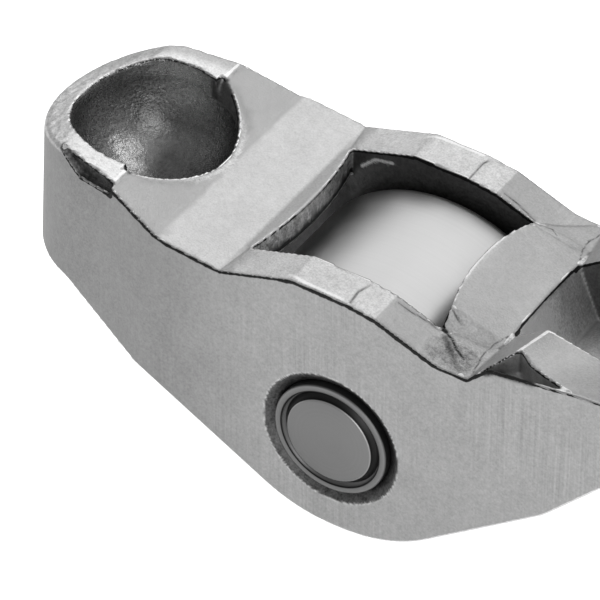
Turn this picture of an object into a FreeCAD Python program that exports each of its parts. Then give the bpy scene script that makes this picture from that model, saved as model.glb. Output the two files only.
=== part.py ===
import FreeCAD, Part
import math
import os

# Roller finger rocker arm for an overhead-cam valve train, in millimetres.
# The origin is the centre of the ball socket. X runs along the arm to the valve
# end, Y runs across it and Z points the way the socket and the valve pad face.
# The cam side, where the roller stands proud of the side walls, faces down.

# Layout of the arm
PIVOT_TO_ROLLER = 17.0
PIVOT_ABOVE_ROLLER = 10.2
PIVOT_TO_VALVE = 37.0
VALVE_TO_TIP = 4.6
BODY_WIDTH = 16.0
WALL = 2.6
SKIN = 2.4

# Ball socket and the round nose about it
BALL_RADIUS = 4.8
THROAT_START = 0.25
THROAT_FLARE = 0.08
LEAD_START = -0.3
LEAD_FLARE = 0.5
LEAD_OVERLAP = 0.3
NOSE_INSET = 1.3
NOSE_SHIFT = 0.35
NOSE_DRAFT = 2.6
FLARE_END = 6.06
NOSE_SKIRT = 7.4
NOSE_SKIRT_LENGTH = 4.5
NOSE_SKIRT_RADIUS = 2.0
NOSE_BLEND = 3.0
RIM_CREST = 1.48
RIM_CREST_BACK = 2.4
RIM_END = 0.15
RIM_CREST_RADIUS = 3.0
RIM_ROUNDING = 0.35
RIM_STEP = 1.55
RIM_STEP_HEIGHT = 0.98
FACET_START = 1.75
FACET_START_HEIGHT = 0.8
FOLD_START = -2.5
FOLD_BEND = -0.75
FOLD_END = 1.6
FOLD_FOOT = 0.38
FOLD_DEPTH = 0.42

# Ramp between the socket and the window, measured from the ball centre
RAMP_START = 5.0
RAMP_DROP = 0.5
RAMP_SKIN = 1.6
RAMP_CREASE = 0.3

# Window over the roller: distances along X from the roller axis,
# heights above the roller axis
WINDOW_START = 6.9
WINDOW_LIP_BOW = 0.7
RAMP_END = 7.4
RAMP_END_HEIGHT = 9.1
RAIL_PEAK_START = 2.6
RAIL_PEAK = 10.5
RAIL_PEAK_RADIUS = 0.6
RAIL_SEAM = 1.0
RAIL_SEAM_HEIGHT = 10.32
RAIL_FALL_START = 2.8
RAIL_FALL_HEIGHT = 10.0
RAIL_FALL_RADIUS = 1.0
SHOULDER_START = 6.7
SHOULDER_HEIGHT = 8.45
SHOULDER_RADIUS = 2.0

# Bridge across the arm, between the window and the valve channel
BRIDGE_FRONT = 5.0
BRIDGE_BOW = 0.65
BRIDGE_HEIGHT = 10.2
BRIDGE_BACK = 9.3
BRIDGE_BACK_HEIGHT = 8.95
BRIDGE_HALF = 4.5
BRIDGE_CROWN = 0.25
BRIDGE_FOOT = 0.8
BRIDGE_TIP = 0.2
TAB_HEIGHT = 9.0
TAB_BACK_DROP = 0.15
TAB_SLIT = 0.15
TAB_SLIT_LENGTH = 1.0
TAB_SLIT_DEPTH = 0.9

# Valve channel and its two cheeks
VALLEY = 8.75
VALLEY_HEIGHT = 8.3
CHANNEL_HALF = 3.7
CHANNEL_FOOT = 10.7
CHANNEL_WALL = 1.6
PAD_HEIGHT = 7.0
PAD_CROWN = 27.0
CHEEK_CREST_IN = 11.7
CHEEK_CREST_IN_HEIGHT = 10.25
CHEEK_BREAK = 15.8
CHEEK_BREAK_HEIGHT = 9.1
CHEEK_BREAK_OUT_HEIGHT = 10.4
CHEEK_TIP_IN_HEIGHT = 8.9
CHEEK_CREST_OUT = 9.9
CHEEK_CREST_OUT_HEIGHT = 9.5
CHEEK_TIP_OUT_HEIGHT = 10.9
TIP_TOP_RADIUS = 3.6
TIP_BOTTOM_RADIUS = 1.2
TIP_CORNER = 1.6
GROOVE_DEPTH = 1.25
GROOVE_START = 0.7
GROOVE_LENGTH = 5.2
GROOVE_LIP = 0.25
GROOVE_WIDTH = 1.9
GROOVE_PEAK = 1.1
GROOVE_WAIST = 2.1
GROOVE_WAIST_WIDTH = 1.15
GROOVE_WAIST_RADIUS = 1.5
GROOVE_RISE = 0.6

# Lower edge of the side walls, heights below the roller axis
BELLY = 6.5
BELLY_RADIUS = 9.5
BELLY_START = 2.3
BELLY_END = 3.9
HEEL = 13.9
HEEL_HEIGHT = 0.7
HEEL_RADIUS = 6.0
TOE = 17.7
TOE_RADIUS = 1.5

# Roller, axle pin and needles
ROLLER_RADIUS = 9.0
ROLLER_SIDE_GAP = 0.4
ROLLER_EDGE = 0.7
ROLLER_BORE_BEVEL = 0.25
RUNNING_CLEARANCE = 0.35
PIN_RADIUS = 3.72
PIN_PROUD = 0.07
PIN_FIT = 0.01
PIN_BEVEL = 0.12
PIN_DISC_RADIUS = 2.77
PIN_DISC_RISE = 0.16
PIN_GROOVE_WIDTH = 0.5
PIN_GROOVE_DEPTH = 0.35
PIN_GROOVE_WALL = 0.12
HOLE_BEVEL = 0.66
HOLE_BEVEL_DEPTH = 0.48
NEEDLE_RADIUS = 0.8
NEEDLE_SIDE_GAP = 0.6
NEEDLE_COUNT = 17
NEEDLE_BEVEL = 0.2
RACE_CLEARANCE = 0.04

# Values worked out from the sizes above
HALF = BODY_WIDTH / 2
INNER_HALF = HALF - WALL
NOSE_RADIUS = HALF - NOSE_INSET
ROLLER_Z = -PIVOT_ABOVE_ROLLER
TIP_X = PIVOT_TO_VALVE + VALVE_TO_TIP
PAD_TOP = ROLLER_Z + PAD_HEIGHT
PAD_CENTRE = PAD_TOP - PAD_CROWN
FOOT_REACH = PIVOT_TO_VALVE - PIVOT_TO_ROLLER - CHANNEL_FOOT
FOOT_HEIGHT = PAD_HEIGHT - PAD_CROWN + math.sqrt(PAD_CROWN ** 2 - FOOT_REACH ** 2)
BRIDGE_SLOPE = (BRIDGE_HEIGHT - BRIDGE_BACK_HEIGHT) / (BRIDGE_BACK - BRIDGE_FRONT)

# Values for construction only: beyond every face, a cut's overrun, the smallest
# length told apart from none, and the share of a run that roundings may take
FAR = 60.0
MARGIN = 0.5
TINY = 0.01
CORNER_SHARE = 0.98


def vec(x, y, z):
    return FreeCAD.Vector(x, y, z)


def from_axis(x, height, radius=0.0):
    """An outline corner given from the roller axis."""
    return (PIVOT_TO_ROLLER + x, ROLLER_Z + height, radius)


def half_opening(before, corner, after):
    """Half the angle between the two runs that meet at a corner."""
    to_before = math.atan2(before[1] - corner[1], before[0] - corner[0])
    to_after = math.atan2(after[1] - corner[1], after[0] - corner[0])
    opening = abs(to_before - to_after)
    return min(opening, 2 * math.pi - opening) / 2


def toward(corner, other, distance):
    """The point at a distance from one point on the way to another."""
    share = distance / math.dist(corner[:2], other[:2])
    return [corner[k] + share * (other[k] - corner[k]) for k in (0, 1)]


def rounding_reaches(corners, halves):
    """How far each rounding reaches along its runs, shared out where two would meet."""
    reaches = [corner[2] / math.tan(half) for corner, half in zip(corners, halves)]
    for i, corner in enumerate(corners):
        ahead = (i + 1) % len(corners)
        room = CORNER_SHARE * math.dist(corner[:2], corners[ahead][:2])
        wanted = reaches[i] + reaches[ahead]
        if wanted > room:
            reaches[i] *= room / wanted
            reaches[ahead] *= room / wanted
    return reaches


def rounded_wire(corners, place):
    """A closed outline of straight runs with its corners rounded by tangent arcs."""
    before = corners[-1:] + corners[:-1]
    after = corners[1:] + corners[:1]
    halves = [half_opening(*trio) for trio in zip(before, corners, after)]
    reaches = rounding_reaches(corners, halves)
    edges = []
    last = toward(corners[-1], corners[0], reaches[-1])
    for i, corner in enumerate(corners):
        start = toward(corner, before[i], reaches[i])
        end = toward(corner, after[i], reaches[i])
        edges.append(Part.makeLine(place(*last), place(*start)))
        if reaches[i] > 0:
            radius = reaches[i] * math.tan(halves[i])
            chord_middle = [(start[k] + end[k]) / 2 for k in (0, 1)]
            depth = radius / math.sin(halves[i]) - radius
            middle = toward(corner, chord_middle, depth)
            arc = Part.Arc(place(*start), place(*middle), place(*end))
            edges.append(arc.toShape())
        last = end
    return Part.Wire(edges)


def side_prism(corners, y_from, y_to):
    """A side outline, in X and Z, carried across from one Y to another."""
    wire = rounded_wire(corners, lambda x, z: vec(x, y_from, z))
    return Part.Face(wire).extrude(vec(0, y_to - y_from, 0))


def plan_prism(corners, z_from, z_to):
    """A plan outline, in X and Y, carried up from one Z to another."""
    wire = rounded_wire(corners, lambda x, y: vec(x, y, z_from))
    return Part.Face(wire).extrude(vec(0, 0, z_to - z_from))


def cross_cylinder(x, z, radius, half_length):
    """A cylinder lying across the arm."""
    return Part.makeCylinder(radius, 2 * half_length, vec(x, -half_length, z), vec(0, 1, 0))


def bevelled_ends(cylinder, size):
    """A cylinder that lies across the arm, with the edges of its ends bevelled."""
    ends = [edge for edge in cylinder.Edges if edge.BoundBox.YLength < TINY]
    return cylinder.makeChamfer(size, ends)


def mirrored(shape):
    """The same piece on the other side of the arm's middle plane."""
    return shape.mirror(vec(0, 0, 0), vec(0, 1, 0))


def side_outline():
    """The arm seen from the side. The valve cheeks are left high, to be cut down."""
    toe_height = PAD_HEIGHT - SKIN
    cheek_rise = CHEEK_TIP_OUT_HEIGHT + MARGIN
    return [
        (-NOSE_RADIUS - MARGIN, -NOSE_SKIRT, 0.0),
        (-NOSE_RADIUS - MARGIN, RIM_END, 0.0),
        (-RIM_CREST_BACK, RIM_CREST, RIM_CREST_RADIUS),
        (RIM_STEP, RIM_STEP_HEIGHT, 0.0),
        (FACET_START, FACET_START_HEIGHT, 0.0),
        (RAMP_START, -RAMP_DROP, RAMP_CREASE),
        from_axis(-RAMP_END, RAMP_END_HEIGHT, RAMP_CREASE),
        from_axis(-RAIL_PEAK_START, RAIL_PEAK, RAIL_PEAK_RADIUS),
        from_axis(RAIL_SEAM, RAIL_SEAM_HEIGHT),
        from_axis(RAIL_FALL_START, RAIL_FALL_HEIGHT, RAIL_FALL_RADIUS),
        from_axis(SHOULDER_START, SHOULDER_HEIGHT, SHOULDER_RADIUS),
        from_axis(VALLEY, VALLEY_HEIGHT),
        from_axis(VALLEY, cheek_rise),
        (TIP_X, ROLLER_Z + cheek_rise, TIP_TOP_RADIUS),
        (TIP_X, ROLLER_Z + toe_height, TIP_BOTTOM_RADIUS),
        from_axis(TOE, toe_height, TOE_RADIUS),
        from_axis(HEEL, HEEL_HEIGHT, HEEL_RADIUS),
        from_axis(BELLY_END, -BELLY, BELLY_RADIUS),
        from_axis(-BELLY_START, -BELLY, BELLY_RADIUS),
        (NOSE_SHIFT - NOSE_RADIUS + NOSE_SKIRT_LENGTH, -NOSE_SKIRT, NOSE_SKIRT_RADIUS),
    ]


def plan_outline(half, radius, tip_x):
    """The arm seen from above: a round nose, flared sides and a blunt valve end."""
    run = FLARE_END - NOSE_SHIFT
    flare = math.atan2(HALF, run) - math.asin(NOSE_RADIUS / math.hypot(HALF, run))
    flare_end = NOSE_SHIFT + (half - radius / math.cos(flare)) / math.tan(flare)
    return [
        (tip_x, -half, TIP_CORNER),
        (tip_x, half, TIP_CORNER),
        (flare_end, half, NOSE_BLEND),
        (NOSE_SHIFT - radius / math.sin(flare), 0.0, radius),
        (flare_end, -half, NOSE_BLEND),
    ]


def drafted_plan(offset):
    """The arm's plan shape with a nose that widens downwards, grown by an offset."""
    wires = []
    for z in (ROLLER_Z - ROLLER_RADIUS, BALL_RADIUS):
        radius = NOSE_RADIUS - z * math.tan(math.radians(NOSE_DRAFT))
        corners = plan_outline(HALF + offset, radius + offset, TIP_X)
        wires.append(rounded_wire(corners, lambda x, y: vec(x, y, z)))
    return Part.makeLoft(wires, True, True)


def arm_blank():
    """The outside of the arm, solid, with the rim of the nose rounded over."""
    blank = side_prism(side_outline(), -FAR, FAR).common(drafted_plan(0.0))
    rim = []
    for edge in blank.Edges:
        box = edge.BoundBox
        round_nose = box.YLength > NOSE_RADIUS and MARGIN < box.XLength < NOSE_RADIUS
        if round_nose and box.ZMin > RIM_END - MARGIN:
            rim.append(edge)
    return blank.makeFillet(RIM_ROUNDING, rim)


def hollow():
    """The open underside between the side walls, below the ramp and the bridge."""
    ramp_z = -RAMP_DROP - RAMP_SKIN
    ceiling = BRIDGE_HEIGHT - SKIN
    step = CHANNEL_FOOT - 2 * CHANNEL_WALL
    foot = CHANNEL_FOOT - CHANNEL_WALL
    corners = [
        (-FAR, -FAR, 0.0),
        (-FAR, ramp_z, 0.0),
        (RAMP_START, ramp_z, 0.0),
        from_axis(-RAMP_END, RAMP_END_HEIGHT - RAMP_SKIN, RAMP_CREASE),
        from_axis(0.0, ceiling),
        from_axis(BRIDGE_FRONT, ceiling),
        from_axis(step, ceiling - BRIDGE_SLOPE * (step - BRIDGE_FRONT), MARGIN),
        from_axis(foot, FOOT_HEIGHT - SKIN),
        from_axis(foot, -FAR),
    ]
    front = side_prism(corners, -FAR, FAR)
    running = cross_cylinder(PIVOT_TO_ROLLER, ROLLER_Z, ROLLER_RADIUS + RUNNING_CLEARANCE, FAR)
    to_valve = PIVOT_TO_VALVE - PIVOT_TO_ROLLER
    under_pad = Part.makeBox(to_valve, 2 * FAR, FAR, vec(PIVOT_TO_ROLLER, -FAR, PAD_TOP - FAR))
    under_pad = under_pad.common(cross_cylinder(PIVOT_TO_VALVE, PAD_CENTRE, PAD_CROWN - SKIN, FAR))
    plan = plan_prism(plan_outline(INNER_HALF, NOSE_RADIUS - WALL, TIP_X + FAR), -FAR, FAR)
    dome = Part.makeSphere(BALL_RADIUS + SKIN)
    return front.fuse(running).fuse(under_pad).common(plan).cut(dome)


def window():
    """The opening that shows the roller, between the bowed lips of ramp and bridge."""
    start = PIVOT_TO_ROLLER - WINDOW_START
    end = PIVOT_TO_ROLLER + BRIDGE_FRONT
    z = ROLLER_Z + SHOULDER_HEIGHT - SKIN
    far_end = end + BRIDGE_BOW
    near_start = vec(start, -INNER_HALF, z)
    far_start = vec(start, INNER_HALF, z)
    near_tab = vec(far_end, -INNER_HALF, z)
    far_tab = vec(far_end, INNER_HALF, z)
    near_end = vec(far_end, -BRIDGE_HALF, z)
    far_end_point = vec(far_end, BRIDGE_HALF, z)
    ramp_lip = Part.Arc(near_start, vec(start + WINDOW_LIP_BOW, 0, z), far_start)
    bridge_lip = Part.Arc(far_end_point, vec(end, 0, z), near_end)
    edges = [
        ramp_lip.toShape(),
        Part.makeLine(far_start, far_tab),
        Part.makeLine(far_tab, far_end_point),
        bridge_lip.toShape(),
        Part.makeLine(near_end, near_tab),
        Part.makeLine(near_tab, near_start),
    ]
    return Part.Face(Part.Wire(edges)).extrude(vec(0, 0, FAR))


def bridge_middle():
    """The crowned middle of the bridge, sloping down to the valve channel."""
    x = PIVOT_TO_ROLLER + BRIDGE_FRONT
    z = ROLLER_Z + BRIDGE_HEIGHT
    low = z - SKIN
    near_low = vec(x, -BRIDGE_HALF, low)
    far_low = vec(x, BRIDGE_HALF, low)
    near_top = vec(x, -BRIDGE_HALF, z - BRIDGE_CROWN)
    far_top = vec(x, BRIDGE_HALF, z - BRIDGE_CROWN)
    edges = [
        Part.makeLine(near_low, far_low),
        Part.makeLine(far_low, far_top),
        Part.Arc(far_top, vec(x, 0, z), near_top).toShape(),
        Part.makeLine(near_top, near_low),
    ]
    run = vec(BRIDGE_BACK - BRIDGE_FRONT, 0, BRIDGE_BACK_HEIGHT - BRIDGE_HEIGHT)
    return Part.Face(Part.Wire(edges)).extrude(run)


def bridge_end():
    """One end of the bridge, twisting down to the outer edge of the side wall."""
    low = ROLLER_Z + SHOULDER_HEIGHT - BRIDGE_FOOT
    front = PIVOT_TO_ROLLER + BRIDGE_FRONT + BRIDGE_BOW
    back = PIVOT_TO_ROLLER + BRIDGE_BACK
    inner_front = ROLLER_Z + BRIDGE_HEIGHT - BRIDGE_CROWN - BRIDGE_SLOPE * BRIDGE_BOW
    inner_back = ROLLER_Z + BRIDGE_BACK_HEIGHT - BRIDGE_CROWN
    tip = PIVOT_TO_ROLLER + VALLEY
    tip_top = ROLLER_Z + VALLEY_HEIGHT
    sections = [
        (BRIDGE_HALF, front, inner_front, back, inner_back),
        (INNER_HALF, front, ROLLER_Z + TAB_HEIGHT, back, inner_back - TAB_BACK_DROP),
        (HALF, tip - BRIDGE_TIP, tip_top, tip + BRIDGE_TIP, tip_top),
    ]
    wires = []
    for y, x_front, z_front, x_back, z_back in sections:
        corners = [vec(x_front, y, low), vec(x_back, y, low)]
        corners += [vec(x_back, y, z_back), vec(x_front, y, z_front)]
        wires.append(Part.makePolygon(corners + corners[:1]))
    return Part.makeLoft(wires, True, True)


def tab_slit():
    """The short shear slit beside the corner tab of the bridge."""
    x = PIVOT_TO_ROLLER + BRIDGE_FRONT + BRIDGE_BOW - MARGIN
    z = ROLLER_Z + BRIDGE_HEIGHT - TAB_SLIT_DEPTH
    return Part.makeBox(TAB_SLIT_LENGTH + MARGIN, TAB_SLIT, FAR, vec(x, BRIDGE_HALF - TAB_SLIT / 2, z))


def cheek_trim():
    """What is cut off above one valve cheek: a ruled, twisting top surface."""
    high = ROLLER_Z + CHEEK_TIP_OUT_HEIGHT + 3 * MARGIN
    inner = [
        from_axis(VALLEY, VALLEY_HEIGHT),
        from_axis(CHEEK_CREST_IN, CHEEK_CREST_IN_HEIGHT),
        from_axis(CHEEK_BREAK, CHEEK_BREAK_HEIGHT),
        (TIP_X + MARGIN, ROLLER_Z + CHEEK_TIP_IN_HEIGHT),
    ]
    outer = [
        from_axis(VALLEY, VALLEY_HEIGHT),
        from_axis(CHEEK_CREST_OUT, CHEEK_CREST_OUT_HEIGHT),
        from_axis(CHEEK_BREAK, CHEEK_BREAK_OUT_HEIGHT),
        (TIP_X + MARGIN, ROLLER_Z + CHEEK_TIP_OUT_HEIGHT),
    ]
    wires = []
    for corners, y in ((inner, CHANNEL_HALF - MARGIN), (outer, HALF + MARGIN)):
        points = [vec(corner[0], y, corner[1]) for corner in corners]
        points += [vec(TIP_X + MARGIN, y, high), vec(points[0].x, y, high)]
        wires.append(Part.makePolygon(points + points[:1]))
    return Part.makeLoft(wires, True, True)


def middle_trim():
    """What is cut off between the two cheeks under the back edge of the bridge."""
    low = ROLLER_Z + VALLEY_HEIGHT
    start = PIVOT_TO_ROLLER + VALLEY
    return Part.makeBox(BRIDGE_BACK - VALLEY, 2 * CHANNEL_HALF, FAR, vec(start, -CHANNEL_HALF, low))


def channel():
    """The channel that guides the valve stem, down to the crowned pad."""
    corners = [
        from_axis(BRIDGE_BACK, BRIDGE_BACK_HEIGHT - BRIDGE_CROWN),
        from_axis(CHANNEL_FOOT, FOOT_HEIGHT),
        from_axis(CHANNEL_FOOT, 0.0),
        (TIP_X + MARGIN, ROLLER_Z, 0.0),
        (TIP_X + MARGIN, FAR, 0.0),
        from_axis(BRIDGE_BACK, FAR),
    ]
    pad = cross_cylinder(PIVOT_TO_VALVE, PAD_CENTRE, PAD_CROWN, FAR)
    return side_prism(corners, -CHANNEL_HALF, CHANNEL_HALF).cut(pad)


def cheek_groove():
    """The tapering groove between a cheek's fold and the outer wall."""
    x = PIVOT_TO_ROLLER + CHEEK_CREST_OUT
    outer = HALF - GROOVE_LIP
    plan = [
        (x - GROOVE_START, outer, 0.0),
        (x + GROOVE_PEAK, outer - GROOVE_WIDTH, 0.0),
        (x + GROOVE_WAIST, outer - GROOVE_WAIST_WIDTH, GROOVE_WAIST_RADIUS),
        (x + GROOVE_LENGTH, outer, 0.0),
    ]
    top = ROLLER_Z + CHEEK_CREST_OUT_HEIGHT
    wedge = [
        (x - GROOVE_START, top - GROOVE_DEPTH, 0.0),
        (x + GROOVE_WAIST, top - GROOVE_DEPTH, 0.0),
        (x + GROOVE_LENGTH, top + GROOVE_RISE, 0.0),
        (x + GROOVE_LENGTH, FAR, 0.0),
        (x - GROOVE_START, FAR, 0.0),
    ]
    return plan_prism(plan, -FAR, FAR).common(side_prism(wedge, 0.0, FAR))


def flared_throat(start, flare):
    """A round opening that leaves the ball at one height and widens evenly upwards."""
    radius = math.sqrt(BALL_RADIUS ** 2 - start ** 2)
    depth = BALL_RADIUS
    return Part.makeCone(radius, radius + flare * depth, depth, vec(0, 0, start))


def socket():
    """The ball socket: nearly straight under the raised rim, bevelled beside the ramp."""
    beside_ramp = Part.makeBox(FAR, 2 * FAR, 2 * FAR, vec(RIM_STEP - LEAD_OVERLAP, -FAR, -FAR))
    lead = flared_throat(LEAD_START, LEAD_FLARE).common(beside_ramp)
    return Part.makeSphere(BALL_RADIUS).fuse(flared_throat(THROAT_START, THROAT_FLARE)).fuse(lead)


def rim_fold():
    """The crevice beside the rim where the nose wall is folded over, on the near side."""
    wedge = [
        (FOLD_START, RIM_CREST, 0.0),
        (FOLD_BEND, FOLD_FOOT, 0.0),
        (FOLD_END, FOLD_FOOT, 0.0),
        (FOLD_END, FAR, 0.0),
        (FOLD_START, FAR, 0.0),
    ]
    return side_prism(wedge, -FAR, 0.0).cut(drafted_plan(-FOLD_DEPTH))


def axle_hole():
    """The pin's hole through both walls, bevelled outside for the staked ends."""
    radius = PIN_RADIUS + PIN_FIT
    hole = cross_cylinder(PIVOT_TO_ROLLER, ROLLER_Z, radius, FAR)
    wide = radius + 2 * HOLE_BEVEL
    for side in (-1, 1):
        foot = vec(PIVOT_TO_ROLLER, side * (HALF - HOLE_BEVEL_DEPTH), ROLLER_Z)
        hole = hole.fuse(Part.makeCone(radius, wide, 2 * HOLE_BEVEL_DEPTH, foot, vec(0, side, 0)))
    return hole


def arm_body():
    """The arm: blank, hollow and window first, then the bridge, then the finer cuts."""
    body = arm_blank()
    for cut in (hollow(), window(), middle_trim(), cheek_trim(), mirrored(cheek_trim())):
        body = body.cut(cut)
    bridge = bridge_middle().multiFuse([bridge_end(), mirrored(bridge_end())])
    body = body.fuse(bridge.cut(window()))
    cuts = [channel(), axle_hole(), socket(), rim_fold()]
    for cut in (cheek_groove(), tab_slit()):
        cuts += [cut, mirrored(cut)]
    for cut in cuts:
        body = body.cut(cut)
    return body.removeSplitter()


def axle_pin():
    """The pin, with a staked groove round the raised middle of each end."""
    half = HALF + PIN_PROUD
    groove = PIN_DISC_RADIUS + PIN_GROOVE_WIDTH
    end = [
        (0.0, half + PIN_DISC_RISE),
        (PIN_DISC_RADIUS, half + PIN_DISC_RISE),
        (groove - PIN_GROOVE_WALL, half - PIN_GROOVE_DEPTH),
        (groove, half),
        (PIN_RADIUS - PIN_BEVEL, half),
        (PIN_RADIUS, half - PIN_BEVEL),
    ]
    corners = [(radius, y, 0.0) for radius, y in end]
    corners += [(radius, -y, 0.0) for radius, y in reversed(end)]
    return turned(corners)


def turned(corners):
    """A half outline, of radius and Y, turned round the roller axis."""
    wire = rounded_wire(corners, lambda r, y: vec(PIVOT_TO_ROLLER + r, y, ROLLER_Z))
    return Part.Face(wire).revolve(vec(PIVOT_TO_ROLLER, 0, ROLLER_Z), vec(0, 1, 0), 360)


def roller():
    """The outer ring, with rounded tread edges and a bevelled bore for the needles."""
    half = INNER_HALF - ROLLER_SIDE_GAP
    bore = PIN_RADIUS + 2 * RACE_CLEARANCE + 2 * NEEDLE_RADIUS
    ring = [
        (bore, half - ROLLER_BORE_BEVEL, 0.0),
        (bore, ROLLER_BORE_BEVEL - half, 0.0),
        (bore + ROLLER_BORE_BEVEL, -half, 0.0),
        (ROLLER_RADIUS, -half, ROLLER_EDGE),
        (ROLLER_RADIUS, half, ROLLER_EDGE),
        (bore + ROLLER_BORE_BEVEL, half, 0.0),
    ]
    return turned(ring)


def needle(number):
    """One loose needle of the full complement about the pin."""
    pitch = PIN_RADIUS + RACE_CLEARANCE + NEEDLE_RADIUS
    turn = 2 * math.pi * number / NEEDLE_COUNT
    x = PIVOT_TO_ROLLER + pitch * math.cos(turn)
    z = ROLLER_Z + pitch * math.sin(turn)
    return bevelled_ends(cross_cylinder(x, z, NEEDLE_RADIUS, INNER_HALF - NEEDLE_SIDE_GAP), NEEDLE_BEVEL)


def main():
    os.makedirs("parts", exist_ok=True)
    parts = {"arm_body": arm_body(), "axle_pin": axle_pin(), "roller": roller()}
    for number in range(NEEDLE_COUNT):
        parts[f"needle_{number + 1:02d}"] = needle(number)
    for name, shape in parts.items():
        shape.exportStep(f"parts/{name}.step")
        solids = len(shape.Solids)
        print(f"{name}: {solids} solid, {shape.Volume:.1f} mm3, valid {shape.isValid()}")


main()
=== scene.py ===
"""Looks of a roller finger rocker arm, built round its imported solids.

The arm is one piece of formed and hardened steel: a round nose with a ball socket, a ramp,
a window over the cam roller, a cross bridge and a channel for the valve stem. Sizes are in
millimetres in the part's own frame, whose origin is the centre of the ball socket.
"""
import logging
import math
from dataclasses import dataclass
from enum import Enum
from typing import Any, Sequence

import bmesh
import bpy
import numpy as np
from mathutils import Matrix, Vector, kdtree, noise


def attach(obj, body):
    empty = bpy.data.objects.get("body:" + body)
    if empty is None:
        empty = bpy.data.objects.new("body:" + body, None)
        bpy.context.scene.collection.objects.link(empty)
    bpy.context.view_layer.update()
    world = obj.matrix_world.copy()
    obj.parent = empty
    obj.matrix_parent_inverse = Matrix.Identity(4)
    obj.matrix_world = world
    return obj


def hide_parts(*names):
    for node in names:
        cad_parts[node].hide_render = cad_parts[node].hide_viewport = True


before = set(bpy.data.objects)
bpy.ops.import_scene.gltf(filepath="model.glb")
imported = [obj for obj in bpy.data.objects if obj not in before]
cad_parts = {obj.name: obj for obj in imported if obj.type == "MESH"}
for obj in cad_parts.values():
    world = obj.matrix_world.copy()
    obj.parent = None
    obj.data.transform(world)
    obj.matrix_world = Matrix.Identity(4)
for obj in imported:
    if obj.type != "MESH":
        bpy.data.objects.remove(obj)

Tree = bpy.types.NodeTree
Socket = bpy.types.NodeSocket
Point = tuple[float, float, float]
Span = tuple[float, float]
Rings = tuple[tuple[float, str], ...]

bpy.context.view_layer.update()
MM = 0.001
LOG = logging.getLogger("rocker_arm")
AXLE: Point = (17.0, 0.0, -10.2)
# A radius below this many millimetres is on the axis.
ON_AXIS = 1e-6
# The span of a noise pattern's values that is spread over its whole contrast.
NOISE: Span = (0.3, 0.7)
WHITE = (1.0, 1.0, 1.0, 1.0)


class Turn(Enum):
    """How a round piece was worked: its end faces turned, or its outside ground."""

    TURNED = "turned"
    GROUND = "ground"


class Mark(Enum):
    """The attributes on the arm's mesh that its finish reads."""

    # The tone mark carries painted light and shade besides the steel's own tone; the wear mark, painted
    # highlights; the crevice mark, painted shade with the cracks.
    LIGHT_AND_TONE = "tone"
    GRAIN = "coarse_grain"
    WEAR_AND_HIGHLIGHT = "edge_wear_and_highlight"
    SHADE_AND_CRACK = "crevice"
    POLISH = "polish"
    EDGE = "edge_gap"
    CREST = "crest_gap"


def linear(colour: str) -> tuple[float, float, float, float]:
    """Turns an sRGB hex colour to the linear values that shaders take.

    Args:
        colour: six hex digits after a hash sign.

    Returns:
        Red, green, blue and an alpha of one.
    """
    parts = [int(colour[i:i + 2], 16) / 255 for i in (1, 3, 5)]
    red, green, blue = ((c / 12.92) if c <= 0.04045 else ((c + 0.055) / 1.055) ** 2.4 for c in parts)
    return red, green, blue, 1.0


def add_node(tree: Tree, kind: str, inputs: dict | None = None, **settings: Any) -> bpy.types.Node:
    """Adds a node to a tree, with its settings, its values and its links.

    Args:
        tree: the material's, world's or geometry's node tree.
        kind: the node's type name.
        inputs: a value or another node's output for each input, by name or number.
        settings: the node's own properties.

    Returns:
        The new node.
    """
    node = tree.nodes.new(kind)
    for name, value in settings.items():
        setattr(node, name, value)
    for key, value in (inputs or {}).items():
        if isinstance(value, Socket):
            tree.links.new(value, node.inputs[key])
        else:
            node.inputs[key].default_value = value
    return node


def maths(tree: Tree, operation: str, *values: Any) -> Socket:
    """The result of one sum on numbers or other nodes' outputs."""
    return add_node(tree, "ShaderNodeMath", dict(enumerate(values)), operation=operation).outputs[0]


def mapped(tree: Tree, value: Socket, span: Span, onto: Span = (0.0, 1.0), **settings: Any) -> Socket:
    """A value moved from one span onto another, and held at its ends."""
    return add_node(tree, "ShaderNodeMapRange", {
        "Value": value, "From Min": span[0], "From Max": span[1], "To Min": onto[0], "To Max": onto[1]},
        **settings).outputs[0]


def around(middle: float, spread: float) -> Span:
    """The span that reaches this far to each side of a value."""
    return middle - spread, middle + spread


def new_material(name: str) -> tuple[bpy.types.Material, Tree]:
    """Makes an empty node material.

    Args:
        name: the finish's name.

    Returns:
        The material and its node tree.
    """
    material = bpy.data.materials.new(name)
    material.use_nodes = True
    material.node_tree.nodes.clear()
    return material, material.node_tree


def per_mm(size: float) -> float:
    """The texture scale at which one cell of a pattern is this many millimetres."""
    return 1 / (size * MM)


def new_object(name: str, data: bpy.types.ID) -> bpy.types.Object:
    """Puts a mesh, lamp or camera in the scene as an object at the origin."""
    made = bpy.data.objects.new(name, data)
    bpy.context.scene.collection.objects.link(made)
    return made


def baked(obj: bpy.types.Object) -> None:
    """Turns the result of an object's modifiers into its own plain mesh."""
    graph = bpy.context.evaluated_depsgraph_get()
    mesh = bpy.data.meshes.new_from_object(obj.evaluated_get(graph), depsgraph=graph)
    obj.modifiers.clear()
    obj.data = mesh


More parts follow.
